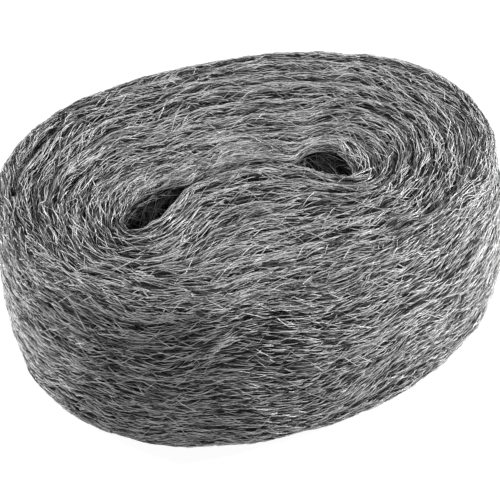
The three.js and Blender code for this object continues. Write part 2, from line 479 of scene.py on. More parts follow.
@dataclass
class Wiring:
    """Adds nodes to a node tree, sets their inputs and links them.

    Args:
        tree: the tree that the nodes go into.
    """

    tree: bpy.types.NodeTree

    @classmethod
    def group(
        cls, name: str, inputs: dict[str, Input | None], outputs: dict[str, str]
    ) -> "Wiring":
        """Starts a shader node group.

        Args:
            name: the name of the group.
            inputs: what each input holds where nothing is linked to it: a colour, a number,
                or None for a place.
            outputs: the type of each output.

        Returns:
            The wiring of the group.
        """
        tree = bpy.data.node_groups.new(name, "ShaderNodeTree")
        kinds = {tuple: "NodeSocketColor", float: "NodeSocketFloat"}
        for socket, value in inputs.items():
            kind = kinds.get(type(value), "NodeSocketVector")
            made = tree.interface.new_socket(name=socket, in_out="INPUT", socket_type=kind)
            if value is not None:
                made.default_value = value
        for socket, kind in outputs.items():
            tree.interface.new_socket(name=socket, in_out="OUTPUT", socket_type=kind)
        return cls(tree)

    def given(self) -> bpy.types.NodeOutputs:
        """Gives what comes into the group, by name."""
        return self.tree.nodes.new("NodeGroupInput").outputs

    def put_out(self, outputs: dict[str, Socket]) -> bpy.types.NodeTree:
        """Links what the group puts out, by name, and gives the finished group."""
        self.feed(self.tree.nodes.new("NodeGroupOutput"), outputs)
        return self.tree

    def feed(self, node: bpy.types.Node, inputs: Inputs) -> None:
        """Sets or links the inputs of a node.

        Args:
            node: the node.
            inputs: a value or another node's output, by the name or number of the input.
        """
        for key, value in inputs.items():
            if isinstance(value, Socket):
                self.tree.links.new(value, node.inputs[key])
            else:
                node.inputs[key].default_value = value

    def add(
        self, kind: str, inputs: Inputs | None = None, **options: object
    ) -> bpy.types.NodeOutputs:
        """Adds a node.

        Args:
            kind: its type, without the words ShaderNode before it.
            inputs: what its inputs hold or are linked to.
            options: its settings.

        Returns:
            The outputs of the node.
        """
        node = self.tree.nodes.new("ShaderNode" + kind)
        for name, value in options.items():
            setattr(node, name, value)
        self.feed(node, inputs or {})
        return node.outputs

    def math(self, operation: str, *values: Input, clamped: bool = False) -> Socket:
        """Adds a node that reckons with numbers, and gives its result."""
        inputs = dict(enumerate(values))
        return self.add("Math", inputs, operation=operation, use_clamp=clamped)[0]

    def vectors(self, operation: str, first: Input, second: Input) -> Socket:
        """Adds a node that reckons with two vectors, and gives its result."""
        return self.add("VectorMath", {0: first, 1: second}, operation=operation)[0]

    def noise(self, place: Socket, scale: float, detail: float) -> bpy.types.NodeOutputs:
        """Adds a noise at some places."""
        return self.add("TexNoise", {"Vector": place, "Scale": scale, "Detail": detail})

    def smooth_step(self, value: Socket, low: Input, high: Input) -> Socket:
        """Rises smoothly from 0 to 1 between two values."""
        inputs = {"Value": value, "From Min": low, "From Max": high}
        return self.add("MapRange", inputs, interpolation_type="SMOOTHSTEP")["Result"]

    def mixed(self, share: Socket, first: Input, second: Input) -> Socket:
        """Mixes two colours."""
        inputs = {"Factor": share, "A": first, "B": second}
        return self.add("Mix", inputs, data_type="RGBA")["Result"]


@dataclass(frozen=True)
class SteelGroups:
    """Shader node groups that the finishes share. Each is built once and used by name.

    Args:
        tone_name: the name of the group for a strand's tone.
        tone_pitch: how quickly the tone changes on the map of tones.
        roughness: the roughness of the dullest and of the brightest steel.
        strand_name: the name of the group for combed strands.
        bend_pitch: how quickly they bend.
        crest: how high on its wave a strand is brightest.
        patch_pitch: how quickly they come and go, along, across and from lay to lay.
        patch_edges: where a patch of strands starts to show, and where it shows in full.
    """

    tone_name: str = "steel tone"
    tone_pitch: Spot = (61.0, 5.0, 1.0)
    roughness: Span = (0.55, 0.32)
    strand_name: str = "combed strands"
    bend_pitch: float = 150.0
    crest: float = 0.49
    patch_pitch: Spot = (330.0, 900.0, 7.0)
    patch_edges: Span = (0.36, 0.60)

    def tone(self) -> bpy.types.NodeTree:
        """Bare steel between a dull and a bright colour, a little uneven along the strand: partly
        random tone, partly painted glints that break it into bright dashes.

        Returns:
            The group. The place's u picks the tone.
        """
        if self.tone_name in bpy.data.node_groups:
            return bpy.data.node_groups[self.tone_name]
        wires = Wiring.group(
            self.tone_name,
            {
                "Place": None,
                "Dull": grey(0.1),
                "Bright": grey(0.7),
                "Unevenness": 0.3,
                "Depth of Tone": 2.2,
            },
            {"Color": "NodeSocketColor", "Roughness": "NodeSocketFloat"},
        )
        given = wires.given()
        own = wires.add("SeparateXYZ", {0: given["Place"]})["X"]
        # The noise along the strand is partly random tone and partly painted glints.
        stretched = wires.vectors("MULTIPLY", given["Place"], self.tone_pitch)
        uneven = wires.math("SUBTRACT", wires.noise(stretched, 1.0, 1.0)["Fac"], 0.5)
        tone = wires.math("MULTIPLY_ADD", uneven, given["Unevenness"], own, clamped=True)
        deepened = wires.math("POWER", tone, given["Depth of Tone"])
        dull, bright = self.roughness
        rough = wires.add("MapRange", {"Value": tone, "To Min": dull, "To Max": bright})
        colour = wires.mixed(deepened, given["Dull"], given["Bright"])
        return wires.put_out({"Color": colour, "Roughness": rough["Result"]})

    def strands(self) -> bpy.types.NodeTree:
        """Thin lines combed one way and broken up along their length.

        Returns:
            The group, which puts out a mask and a height.
        """
        if self.strand_name in bpy.data.node_groups:
            return bpy.data.node_groups[self.strand_name]
        wires = Wiring.group(
            self.strand_name,
            {
                "Place": None,
                "Heading": 0.0,
                "Along": 70.0,
                "Across": 1300.0,
                "Waviness": 0.002,
                "Draw": 0.0,
                "Fineness": 0.82,
            },
            {"Mask": "NodeSocketFloat", "Height": "NodeSocketFloat"},
        )
        given = wires.given()
        inputs = {"Vector": given["Place"], "Angle": given["Heading"]}
        turned = wires.add("VectorRotate", inputs, rotation_type="Z_AXIS")[0]
        draw = wires.add("CombineXYZ", {"Z": given["Draw"]})[0]
        placed = wires.vectors("ADD", turned, draw)
        bend = wires.noise(placed, self.bend_pitch, 2.0)["Color"]
        bend = wires.vectors("SUBTRACT", bend, (0.5, 0.5, 0.5))
        inputs = {0: bend, "Scale": given["Waviness"]}
        bend = wires.add("VectorMath", inputs, operation="SCALE")[0]
        moved = wires.vectors("ADD", placed, bend)
        inputs = {"X": given["Along"], "Y": given["Across"], "Z": 1.0}
        pitch = wires.add("CombineXYZ", inputs)[0]
        combed = wires.noise(wires.vectors("MULTIPLY", moved, pitch), 1.0, 0.0)["Fac"]
        ridge = wires.math("PINGPONG", combed, 0.5)
        half = wires.math("MULTIPLY", given["Fineness"], 0.5)
        line = wires.smooth_step(ridge, half, self.crest)
        patchy = wires.noise(wires.vectors("MULTIPLY", moved, self.patch_pitch), 1.0, 1.0)
        shown = wires.smooth_step(patchy["Fac"], *self.patch_edges)
        mask = wires.math("MULTIPLY", line, shown)
        return wires.put_out({"Mask": mask, "Height": mask})


@dataclass(frozen=True)
class SteelFinish:
    """What the finishes of bare steel share.

    Args:
        name: the name of the material.
        metallic: how metallic it is.
        specular: how much its plain part reflects.
    """

    name: str
    metallic: float
    specular: float = 0.1

    def material(self) -> bpy.types.Material:
        """Builds the material the first time.

        Returns:
            The material.
        """
        if self.name not in bpy.data.materials:
            mat = bpy.data.materials.new(self.name)
            mat.use_nodes = True
            wires, shader = Wiring(mat.node_tree), mat.node_tree.nodes["Principled BSDF"]
            shader.inputs["Metallic"].default_value = self.metallic
            shader.inputs["Specular IOR Level"].default_value = self.specular
            wires.feed(shader, self._surface(wires))
        return bpy.data.materials[self.name]

    def _surface(self, wires: Wiring) -> Inputs:
        """What goes into the other inputs of the shader."""
        raise NotImplementedError


@dataclass(frozen=True)
class StrandFinish(SteelFinish):
    """Bare steel strands, each with a tone of its own.

    Args:
        dull: the brightness of the darkest strand.
        bright: the brightness of the brightest one.
        unevenness: how much the tone changes along a strand, partly at random and partly as
            painted glints.
    """

    name: str = "bright steel strands"
    metallic: float = 0.15
    dull: float = 0.02
    bright: float = 0.92
    unevenness: float = 0.45

    def _surface(self, wires: Wiring) -> Inputs:
        """Takes the strand's tone from its place on the map of tones.

        Args:
            wires: the wiring of the material.

        Returns:
            What goes into the shader.
        """
        inputs = {
            "Place": wires.add("UVMap", uv_map=BAKE_MAP)["UV"],
            "Dull": grey(self.dull),
            "Bright": grey(self.bright),
            "Unevenness": self.unevenness,
        }
        tone = wires.add("Group", inputs, node_tree=SteelGroups().tone())
        return {"Base Color": tone["Color"], "Roughness": tone["Roughness"]}


@dataclass(frozen=True)
class CombedLay:
    """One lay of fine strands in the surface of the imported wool.

    Args:
        heading: their direction across the winding, in radians.
        across: how many waves of them there are to a metre.
        tone: how bright they are.
        draw: which lay of that kind it is.
    """

    heading: float
    across: float
    tone: float
    draw: float


@dataclass(frozen=True)
class PackedFinish(SteelFinish):
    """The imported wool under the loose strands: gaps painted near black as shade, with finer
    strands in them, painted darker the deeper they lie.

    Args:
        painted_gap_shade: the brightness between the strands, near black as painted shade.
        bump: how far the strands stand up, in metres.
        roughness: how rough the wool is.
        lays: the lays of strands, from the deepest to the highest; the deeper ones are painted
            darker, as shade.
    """

    name: str = "packed wool"
    metallic: float = 0.3
    painted_gap_shade: float = 0.004
    bump: float = 0.0003
    roughness: float = 0.5
    lays: tuple[CombedLay, ...] = (
        CombedLay(heading=0.10, across=1200.0, tone=0.03, draw=0.3),
        CombedLay(heading=-0.16, across=1500.0, tone=0.07, draw=1.7),
        CombedLay(heading=0.03, across=1700.0, tone=0.16, draw=2.9),
    )

    def _surface(self, wires: Wiring) -> Inputs:
        """Lays the lays of strands one over another.

        Args:
            wires: the wiring of the material.

        Returns:
            What goes into the shader.
        """
        place = wires.add("UVMap", uv_map=WINDING_MAP)["UV"]
        # Painted shade: the wool starts near black between the strands, and each lay over it is a
        # little brighter.
        colour, height = grey(self.painted_gap_shade), None
        for lay in self.lays:
            inputs = {
                "Place": place,
                "Heading": lay.heading,
                "Across": lay.across,
                "Draw": lay.draw,
            }
            strands = wires.add("Group", inputs, node_tree=SteelGroups().strands())
            colour = wires.mixed(strands["Mask"], colour, grey(lay.tone))
            top = strands["Height"]
            height = top if height is None else wires.math("MAXIMUM", height, top)
        bump = wires.add("Bump", {"Distance": self.bump, "Height": height})
        return {"Base Color": colour, "Roughness": self.roughness, "Normal": bump["Normal"]}


# Pieces


def mesh_object(
    name: str,
    points: np.ndarray,
    corners: np.ndarray,
    sizes: np.ndarray,
    maps: dict[str, np.ndarray],
    material: bpy.types.Material,
) -> bpy.types.Object:
    """Makes a mesh object from arrays.

    Args:
        name: the name of the object.
        points: the x, y and z of each vertex.
        corners: the vertex of each face corner, face after face.
        sizes: how many corners each face has.
        maps: the u and v of each face corner, by the name of the UV map.
        material: its material.

    Returns:
        The object, linked to the scene.
    """
    mesh = bpy.data.meshes.new(name)
    mesh.vertices.add(len(points))
    mesh.vertices.foreach_set("co", points.astype(np.float32).ravel())
    mesh.loops.add(len(corners))
    mesh.loops.foreach_set("vertex_index", corners.astype(np.int32))
    mesh.polygons.add(len(sizes))
    starts = np.concatenate([[0], np.cumsum(sizes)[:-1]])
    mesh.polygons.foreach_set("loop_start", starts.astype(np.int32))
    mesh.update(calc_edges=True)
    for map_name, places in maps.items():
        layer = mesh.uv_layers.new(name=map_name)
        layer.data.foreach_set("uv", places.astype(np.float32).ravel())
    mesh.materials.append(material)
    made = bpy.data.objects.new(name, mesh)
    bpy.context.scene.collection.objects.link(made)
    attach(made, BODY)
    return made


@dataclass
class PackedWool:
    """The body of the roll, under its loose strands: the turns, the wall and the eyes.

    Args:
        shape: the roll.
        inset: how far its surface lies inside that of the solid.
        steps: into how many steps a turn is divided.
        strips: into how many strips a turn's thickness is divided.
        rows: into how many rows the wall is divided.
        ribbon: the thickness of a turn on the map of the winding.
        eye_run: the length of the eyes' walls on that map, for each turn.
        digits: to how many digits vertices agree that are one.
    """

    shape: RollShape
    inset: float = 0.0005
    steps: int = 144
    strips: int = 6
    rows: int = 16
    ribbon: float = 0.0055
    eye_run: float = 0.15
    digits: int = 7
    name: str = "packed_wool"
    finish: PackedFinish = field(default_factory=PackedFinish)

    @staticmethod
    def _patches(
        points: np.ndarray, along: np.ndarray, across: np.ndarray, flip: bool
    ) -> np.ndarray:
        """Cuts a grid of points into four-cornered patches that face outwards.

        Args:
            points: the x, y and z of each point.
            along: its place along the ribbon, on the map of the winding.
            across: its place across the ribbon, on that map.
            flip: whether the grid faces inwards.

        Returns:
            The patches, with x, y, z and the two places of each corner.
        """
        maps = [np.broadcast_to(way, points.shape[:2])[..., None] for way in (along, across)]
        grid = np.concatenate([points, *maps], -1)
        a, b = grid[:-1, :-1], grid[:-1, 1:]
        c, d = grid[1:, 1:], grid[1:, :-1]
        order = (d, c, b, a) if flip else (a, b, c, d)
        return np.stack(order, 2).reshape(-1, 4, grid.shape[-1])

    def _face(self, upper: bool) -> np.ndarray:
        """Makes the upper face or the underside, turn by turn.

        Args:
            upper: whether it is the upper face.

        Returns:
            Its patches.
        """
        count = round(self.shape.turns * self.steps)
        turns = np.arange(count + 1)[:, None] / self.steps
        across = np.arange(self.strips + 1)[None, :] / self.strips
        turns, across = np.broadcast_arrays(turns, across)
        points = self.shape.face(turns, across, upper)
        points[..., 2] += -self.inset if upper else self.inset
        run = run_along(points[:, self.strips // 2])[:, None]
        place = (np.floor(turns[:, :1]) + across) * self.ribbon
        return self._patches(points, run, place, not upper)

    def _wall(self) -> np.ndarray:
        """Makes the side wall, between its two rounded edges.

        Returns:
            Its patches.
        """
        shape = self.shape
        turns = shape.turns - 1 + np.arange(self.steps + 1)[:, None] / self.steps
        rows = np.linspace(shape.wall_top, shape.foot_radius, self.rows + 1)[None, :]
        turns, rows = np.broadcast_arrays(turns, rows)
        place = shape.outline(shape.winding_at(turns), rows)
        points = np.concatenate([place, rows[..., None]], -1)
        points[:, 0, 2] -= self.inset
        points[:, -1, 2] += self.inset
        run = run_along(points[:, self.rows // 2])[:, None]
        return self._patches(points, run, rows, False)

    def _eyes(self) -> np.ndarray:
        """Makes the walls of the two eyes.

        Returns:
            Their patches.
        """
        shape = self.shape
        turns = np.arange(self.steps + 1)[:, None] / self.steps
        rows = np.linspace(0, 1, self.rows // 2 + 1)[None, :]
        turns, rows = np.broadcast_arrays(turns, rows)
        winding = shape.winding_at(turns)
        top = shape.height - shape.groove - self.inset
        foot = shape.groove + self.inset
        height = top + (foot - top) * rows
        points = np.concatenate([shape.slit_edge(winding), height[..., None]], -1)
        opening = shape.eye_width(signed_power(np.cos(winding[:, 0]), shape.slit_reach))
        is_open = (opening[:-1] > 0) | (opening[1:] > 0)
        patches = self._patches(points, turns * self.eye_run, height, True)
        by_step = patches.reshape(self.steps, -1, *patches.shape[1:])
        return by_step[is_open].reshape(-1, *patches.shape[1:])

    def build(self) -> bpy.types.Object:
        """Builds the closed mesh and puts it in place of the plain solid.

        Returns:
            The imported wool.
        """
        patches = [self._face(True), self._face(False), self._wall(), self._eyes()]
        patches = np.concatenate(patches)
        halves = np.concatenate([patches[:, [0, 1, 2]], patches[:, [0, 2, 3]]])
        spots = halves[..., :3].reshape(-1, 3)
        _, first, which = np.unique(
            np.round(spots, self.digits), axis=0, return_index=True, return_inverse=True
        )
        which = which.reshape(-1, 3)
        real = (which != np.roll(which, 1, axis=1)).all(1)
        which, places = which[real], halves[real][..., 3:]
        made = mesh_object(
            self.name,
            self._tufted(spots[first], which),
            which.ravel(),
            np.full(len(which), 3),
            {WINDING_MAP: places.reshape(-1, 2)},
            self.finish.material(),
        )
        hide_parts(NODE)
        return made

    def _tufted(self, points: np.ndarray, faces: np.ndarray) -> np.ndarray:
        """Moves each vertex a little along its normal, as packed tufts do.

        Args:
            points: the vertices.
            faces: the three vertices of each face.

        Returns:
            The moved vertices.
        """
        corners = points[faces]
        flat = np.cross(corners[:, 1] - corners[:, 0], corners[:, 2] - corners[:, 0])
        normals = np.zeros_like(points)
        for corner in range(3):
            np.add.at(normals, faces[:, corner], flat)
        swelling = TUFTS.at(points) * TUFTING
        return points + unit(normals) * (swelling - self.inset / 2)[:, None]


@dataclass
class Strands:
    """A number of single strands: where they run, how thick they are and how bright.

    Args:
        points: the points that each strand runs through.
        normals: the surface's normal at each point.
        radius: the radius of each strand.
        tones: the tone of each strand, from 0 for dull to 1 for bright.
        sides: how many sides a strand has.
        twisting: the spread of how far a strand turns about itself, in radians.
        columns: how many tones the map of tones has.
        margin: the part of a column that is left free on either side.
        end_margin: the part of the map that is left free at either end of a strand.
    """

    points: np.ndarray
    normals: np.ndarray
    radius: np.ndarray
    tones: np.ndarray
    sides: int = 3
    twisting: float = 1.2
    columns: int = 64
    margin: float = 0.15
    end_margin: float = 0.02

    def build(self, name: str, finish: StrandFinish, seed: int) -> bpy.types.Object:
        """Makes closed slivers, drawn out to a point at both ends.

        Args:
            name: the name of the piece.
            finish: what they are made of.
            seed: the random draw of their twist.

        Returns:
            The piece.
        """
        quads, tips = self._faces()
        return mesh_object(
            name,
            self._vertices(np.random.default_rng(seed)).reshape(-1, 3),
            np.concatenate([quads.ravel(), tips.ravel()]),
            np.concatenate([np.full(len(quads), 4), np.full(len(tips), 3)]),
            {BAKE_MAP: self._palette()},
            finish.material(),
        )

    @property
    def rings(self) -> int:
        """The rings of vertices between the two points of a strand."""
        return self.points.shape[1] - 2

    def _vertices(self, rng: np.random.Generator) -> np.ndarray:
        """Places the vertices of each strand: its rings, and then its two ends.

        Args:
            rng: the random draw of its twist.

        Returns:
            The x, y and z of each vertex, strand by strand.
        """
        count = len(self.points)
        along = unit(np.gradient(self.points, axis=1))
        across = unit(np.cross(along, self.normals))
        up = np.cross(across, along)
        ways = np.linspace(-1, 1, self.rings + 2)[None, :]
        twist = rng.uniform(0, FULL_CIRCLE, size=(count, 1))
        twist = twist + rng.normal(0, self.twisting, size=(count, 1)) * ways
        angles = twist[..., None] + np.arange(self.sides) * FULL_CIRCLE / self.sides
        around = np.cos(angles)[..., None] * up[:, :, None]
        around = around + np.sin(angles)[..., None] * across[:, :, None]
        rings = self.points[:, :, None] + around * self.radius[:, None, None, None]
        rings = rings[:, 1:-1].reshape(count, -1, 3)
        verts = np.concatenate([rings, self.points[:, [0, -1]]], 1)
        verts[..., 2] = np.maximum(verts[..., 2], 0)
        return verts

    def _faces(self) -> tuple[np.ndarray, np.ndarray]:
        """Joins the vertices of every strand.

        Returns:
            The vertex numbers of the sides, and those of the two pointed ends.
        """
        sides, rings = self.sides, self.rings
        first = np.arange(len(self.points))[:, None, None] * (rings * sides + 2)
        ring = np.arange(rings - 1)[None, :, None] * sides
        side = np.arange(sides)[None, None, :]
        after = (side + 1) % sides
        low, high = first + ring + side, first + ring + after
        quads = np.stack([low, high, high + sides, low + sides], -1).reshape(-1, 4)
        start = first + rings * sides + side * 0
        last = first + (rings - 1) * sides
        front = np.stack([start, first + after, first + side], -1)
        back = np.stack([start + 1, last + side, last + after], -1)
        return quads, np.concatenate([front.reshape(-1, 3), back.reshape(-1, 3)])

    def _palette(self) -> np.ndarray:
        """Places every strand on a map of tones: across it by tone, and along it by way.

        Returns:
            The u and v of each face corner, first those of the sides and then of the ends.
        """
        reach = self.rings + 1
        column = np.floor(self.tones * self.columns)[:, None, None, None]
        side = np.arange(self.sides)[None, None, :, None]
        ring = np.arange(1, self.rings)[None, :, None, None]
        tip = np.array([0, 1, 1])[None, None, None, :]
        maps = (
            (side + np.array([0, 1, 1, 0]), ring + np.array([0, 0, 1, 1])),
            (side + np.array([0.5, 1, 0]), tip),
            (side + np.array([0.5, 0, 1]), reach - tip),
        )
        places = []
        for across, along in maps:
            u = column + self.margin + (1 - 2 * self.margin) * across / self.sides
            v = self.end_margin + (1 - 2 * self.end_margin) * along / reach
            places.append(np.stack(np.broadcast_arrays(u / self.columns, v), -1).reshape(-1, 2))
        return np.concatenate(places)


class StrandPiece:
    """A piece of single strands. Each kind of piece lays them in its own way."""

    name: str
    seed: int
    finish: StrandFinish

    def strands(self, shape: RollShape) -> Strands:
        """Lays the strands on a roll."""
        raise NotImplementedError

    def build(self, shape: RollShape) -> bpy.types.Object:
        """Makes the piece.

        Args:
            shape: the roll.

        Returns:
            The piece.
        """
        return self.strands(shape).build(self.name, self.finish, self.seed + 2)


@dataclass
class StrandLay(StrandPiece):
    """One layer of single strands on a side of the roll.

    Args:
        name: the name of the piece.
        side: the side that they lie on.
        count: how many strands there are.
        length: the shortest and the longest, in metres.
        lift: how far they lie over the solid's surface, lowest and highest.
        slant: the spread of their directions, as a slope across the winding.
        streams: the spread of the slope that neighbours share.
        swing: how far a strand swings to either side.
        thickness: the thinnest and the thickest strand.
        tone: the mean tone.
        tone_spread: the spread of the tones.
        seed: the random draw.
        across: the part of the side that they lie on, for the wall and the eyes.
        turns: the part of the winding that they lie on.
        points: how many points a strand runs through.
        spacing: how far one strand starts after another in its row, in strand lengths.
        scatter: how far it moves along the row from there, in parts of that distance.
        pitch: the shortest and the longest swing, along the strand.
        stream_size: about the distance from one stream to the next.
        stream_seed: the random draw of the streams.
        bow: how far the strand's middle stands up, lowest and highest.
        dive: how far its ends dip into the wool.
        dive_power: how much that keeps to the ends.
        streaks: how much of its tone a strand shares with its neighbours.
        tone_limits: the dullest and the brightest that it may be.
        wayward: the share of strands that lie across the others.
        wayward_slant: how much more they slant.
        longest_step: how far a strand may leap, in its own steps, before it is left out.
        ribbon: the thickness of one turn.
        eye_shade_depth: the depth over which the strands in the eyes are darkened, as painted
            shade down in the eyes.
        slit_margin: how near to the slit they come, as a part of the first turn's thickness.
        slit_shade: how much they are darkened at the edge of the slit, as painted shade.
        slit_shade_reach: where that starts, as a part of the first turn's thickness.
    """

    name: str
    side: Side
    count: int
    length: Span
    lift: Span
    slant: float
    streams: float
    swing: float
    thickness: Span
    tone: float
    tone_spread: float
    seed: int
    across: Span = (0.0, 1.0)
    turns: Span = (0.3, 8.7)
    points: int = 5
    spacing: float = 0.6
    scatter: float = 0.7
    pitch: Span = (0.006, 0.018)
    stream_size: float = 0.024
    stream_seed: int = 41
    bow: Span = (-0.0001, 0.0003)
    dive: float = 0.0007
    dive_power: int = 5
    streaks: float = 0.07
    tone_limits: Span = (0.02, 0.98)
    wayward: float = 0.10
    wayward_slant: float = 3.5
    longest_step: float = 2.5
    ribbon: float = 0.006
    eye_shade_depth: float = 0.008
    slit_margin: float = 0.12
    slit_shade: float = 0.4
    slit_shade_reach: float = 0.35
    finish: StrandFinish = field(default_factory=StrandFinish)

    @property
    def on_face(self) -> bool:
        """Whether the strands lie on the upper face or the underside."""
        return self.side in (Side.UPPER, Side.UNDER)

    def _surface(self, shape: RollShape, turns: np.ndarray, across: np.ndarray) -> np.ndarray:
        """Finds points of this side.

        Args:
            shape: the roll.
            turns: the places along the winding.
            across: the places across it.

        Returns:
            The x, y and z of each point.
        """
        if self.on_face:
            return shape.face(turns, across, self.side is Side.UPPER)
        if self.side is Side.EYE:
            return shape.eye(turns, across)
        return shape.wall(turns, across)

    def _rates(
        self, shape: RollShape, turns: np.ndarray, across: np.ndarray
    ) -> tuple[np.ndarray, np.ndarray, np.ndarray]:
        """Finds how the surface runs at some places.

        Args:
            shape: the roll.
            turns: the places along the winding.
            across: the places across it.

        Returns:
            The metres along per turn, the metres across per unit, and the outward normal.
        """
        step = 1e-3
        nudge = 0.02 if self.on_face else 1e-4
        shortest_turn, thinnest, thickest = 0.02, 0.003, 0.008
        before = self._surface(shape, turns - step, across)
        after = self._surface(shape, turns + step, across)
        inner = self._surface(shape, turns, across - nudge)
        outer = self._surface(shape, turns, across + nudge)
        along = (after - before) / (2 * step)
        sideways = (outer - inner) / (2 * nudge)
        normal = unit(np.cross(sideways, along))
        if self.side in (Side.UNDER, Side.EYE):
            normal = -normal
        along_rate = np.linalg.norm(along, axis=-1)
        if self.on_face:
            across_rate = np.clip(np.linalg.norm(sideways, axis=-1), thinnest, thickest)
        else:
            across_rate = np.ones_like(along_rate)
        return np.maximum(along_rate, shortest_turn), across_rate, normal

    def _starts(
        self, shape: RollShape, rng: np.random.Generator, length: float
    ) -> tuple[np.ndarray, np.ndarray]:
        """Spreads the strands' middles evenly over the side, in rows along the winding.

        Args:
            shape: the roll.
            rng: the random draw.
            length: the mean length of a strand.

        Returns:
            The place of each middle, along and across the winding.
        """
        samples = 901
        steps = np.linspace(*self.turns, samples)
        middle = np.full(samples, np.mean(self.across))
        along_rate, across_rate, _ = self._rates(shape, steps, middle)
        area = np.cumsum(along_rate * np.minimum(across_rate, 1.0))
        whole = along_rate.mean() * (self.turns[1] - self.turns[0])
        places = round(whole / (length * self.spacing))
        rows = math.ceil(self.count / places)
        place, row = np.divmod(rng.permutation(places * rows)[: self.count], rows)
        ways = place + rng.random(rows)[row] + self.scatter * rng.random(self.count)
        ways = ways / places
        turns = np.interp(ways % 1, (area - area[0]) / (area[-1] - area[0]), steps)
        low, high = self.across
        return turns, low + (high - low) * (row + rng.random(self.count)) / rows

    def _walk(
        self, shape: RollShape, rng: np.random.Generator, lengths: np.ndarray
    ) -> tuple[np.ndarray, np.ndarray]:
        """Follows each strand along the winding.

        Args:
            shape: the roll.
            rng: the random draw.
            lengths: how long each strand is.

        Returns:
            The place of each of its points, along and across the winding.
        """
        turns, across = self._starts(shape, rng, float(lengths.mean()))
        slant = rng.normal(0, self.slant, size=self.count)
        is_wayward = rng.random(self.count) < self.wayward
        slant = slant * np.where(is_wayward, self.wayward_slant, 1)
        pitch = rng.uniform(*self.pitch, size=self.count)
        shift = rng.uniform(0, FULL_CIRCLE, size=self.count)
        swing = rng.uniform(0, self.swing, size=self.count)
        streams = Ripples(self.stream_size, self.stream_seed)
        step = lengths / (self.points - 1)
        turns = turns - lengths / 2 / self._rates(shape, turns, across)[0]
        along, sideways = [], []
        for point in range(self.points):
            along.append(turns)
            sideways.append(across)
            along_rate, across_rate, _ = self._rates(shape, turns, across)
            spot = self._surface(shape, turns, across)
            wave = np.cos(FULL_CIRCLE * point * step / pitch + shift)
            slope = slant + self.streams * streams.at(spot) + swing * FULL_CIRCLE / pitch * wave
            turns = turns + step / along_rate
            across = across + slope * step / across_rate
            if self.on_face:
                across = np.where(turns < 1, np.maximum(across, self.slit_margin), across)
        return np.stack(along, -1), np.stack(sideways, -1)

    def _tones(
        self, rng: np.random.Generator, spots: np.ndarray, turns: np.ndarray, across: np.ndarray
    ) -> np.ndarray:
        """Finds the tone of each strand: its own, and what it shares with its neighbours.

        Args:
            rng: the random draw.
            spots: the x, y and z of its middle.
            turns: the place of its middle along the winding.
            across: its place across it.

        Returns:
            The tones, from 0 for dull to 1 for bright.
        """
        tone = self.tone + self.tone_spread * rng.normal(size=self.count)
        patches = WIDE_PATCHES.at(spots) * WIDE_SHARE + SMALL_PATCHES.at(spots) * SMALL_SHARE
        ribbon = self.ribbon if self.on_face else 1.0
        run = turns * STREAK_RUN
        places = np.stack([run, (turns * self.on_face + across) * ribbon, run * 0], -1)
        shared = STREAKS.at(places) + patches * PATCHES_TO_STREAKS
        return np.clip(tone + self.streaks * shared, *self.tone_limits)

    def strands(self, shape: RollShape) -> Strands:
        """Lays the strands along the winding, without those that would leap over the slit.

        Args:
            shape: the roll.

        Returns:
            The strands.
        """
        rng = np.random.default_rng(self.seed)
        lengths = rng.uniform(*self.length, size=self.count)
        turns, across = self._walk(shape, rng, lengths)
        spots = self._surface(shape, turns, across)
        normals = self._rates(shape, turns, across)[2]
        half = self.points // 2
        ways = np.linspace(-1, 1, self.points)[None, :]
        lift = rng.uniform(*self.lift, size=(self.count, 1))
        bow = rng.uniform(*self.bow, size=(self.count, 1)) * (1 - ways**2)
        tufts = TUFTS.at(spots) * TUFTING
        height = lift + bow + tufts - self.dive * np.abs(ways) ** self.dive_power
        spots = spots + normals * height[..., None]
        turns, across = turns[:, half], across[:, half]
        tones = self._tones(rng, spots[:, half], turns, across)
        # Painted shade: strands on the eyes' walls are darkened the deeper they lie.
        if self.side is Side.EYE:
            tones = tones * np.exp(-np.maximum(across, 0) / self.eye_shade_depth)
        # Painted shade: strands on the first turn darken towards the edge of the slit.
        if self.on_face:
            beside = (turns < 1) * (1 - across / self.slit_shade_reach)
            tones = tones * (1 - self.slit_shade * np.clip(beside, 0, 1))
        radius = rng.uniform(*self.thickness, size=self.count) / math.sqrt(3)
        longest = np.linalg.norm(np.diff(spots, axis=1), axis=-1).max(1)
        kept = longest < self.longest_step * lengths / (self.points - 1)
        return Strands(spots[kept], normals[kept], radius[kept], tones[kept])


